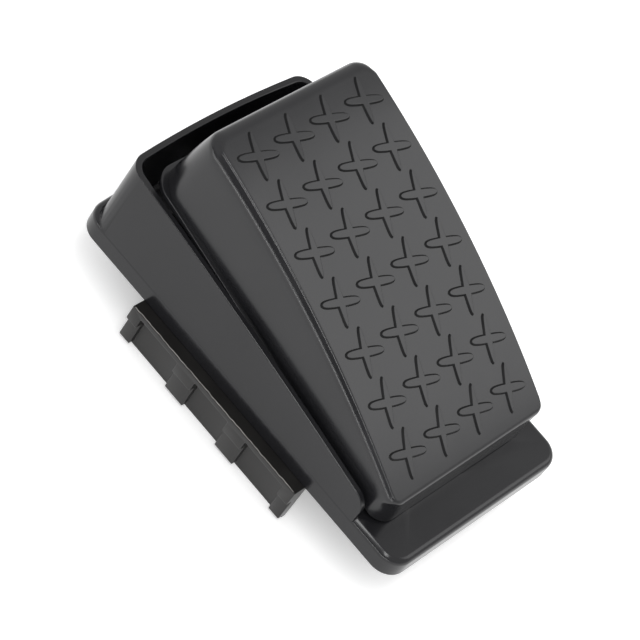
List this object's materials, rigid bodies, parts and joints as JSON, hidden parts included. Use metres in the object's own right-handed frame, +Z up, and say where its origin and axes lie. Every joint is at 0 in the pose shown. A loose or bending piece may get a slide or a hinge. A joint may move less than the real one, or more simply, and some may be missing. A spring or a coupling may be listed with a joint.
{
  "type": "accelerator pedal",
  "caption": "Black moulded accelerator pedal: sprung hinged treadle with raised crosses in an open-topped housing, two hanging side rails, and a roller-lever microswitch inside.",
  "frame": {"origin": "middle of the housing's underside, in the plane where the side rails' ledges meet it", "axes": "+X to the driver's right, +Y towards the toe (high) end, +Z up"},
  "size_m": [0.0874, 0.14, 0.0775],
  "materials": {
    "black_abs": "semi-gloss moulded ABS",
    "textured_abs": "fine-textured moulded ABS",
    "black_rubber": "matt moulded rubber",
    "white_acetal": "satin moulded acetal",
    "switch_phenolic": "matt moulded phenolic",
    "red_plunger": "satin moulded nylon",
    "zinc_steel": "bright zinc plate",
    "spring_steel": "drawn spring steel",
    "tinned_brass": "tin-plated stamping"
  },
  "bodies": {
    "root": {"housing": "black_abs", "base_plate": "black_abs", "side_rail_left": "textured_abs", "side_rail_right": "textured_abs", "hinge_pin": "zinc_steel", "hinge_clips": "spring_steel", "stop_bumper_left": "black_rubber", "stop_bumper_right": "black_rubber", "switch_case": "switch_phenolic", "switch_cover": "switch_phenolic", "terminal_common": "tinned_brass", "terminal_closed": "tinned_brass", "terminal_open": "tinned_brass", "lever_pin": "zinc_steel", "base_screws": "zinc_steel", "rail_screws": "zinc_steel", "switch_screws": "zinc_steel"},
    "treadle": {"pedal": "black_abs", "hinge_bush_left": "white_acetal", "hinge_bush_right": "white_acetal", "return_spring": "spring_steel"},
    "lever": {"switch_lever": "spring_steel", "roller_pin": "zinc_steel"},
    "roller": {"lever_roller": "white_acetal"},
    "plunger": {"switch_plunger": "red_plunger"}
  },
  "joints": [
    {"name": "pedal_hinge", "type": "hinge", "parent": "root", "child": "treadle", "pos_m": [0, -0.047, 0.012], "axis": [-1, 0, 0], "range_deg": [0, 12], "stiffness_Nm_per_rad": 2, "springref_deg": -14.32, "deforming": ["return_spring"]},
    {"name": "lever_hinge", "type": "hinge", "parent": "root", "child": "lever", "pos_m": [0, -0.001, 0.0194], "axis": [1, 0, 0], "range_deg": [0, 14.1]},
    {"name": "plunger_slide", "type": "slide", "parent": "root", "child": "plunger", "axis": [0, 0, -1], "range_m": [0, 0.0015]},
    {"name": "roller_spin", "type": "hinge", "parent": "lever", "child": "roller", "pos_m": [0, -0.02147, 0.02799], "axis": [1, 0, 0], "continuous": true}
  ],
  "couplings": [
    {"joint": "lever_hinge", "follows": "pedal_hinge", "ratio": 1.1673},
    {"joint": "plunger_slide", "follows": "pedal_hinge", "m_per_rad": 0.00678}
  ]
}
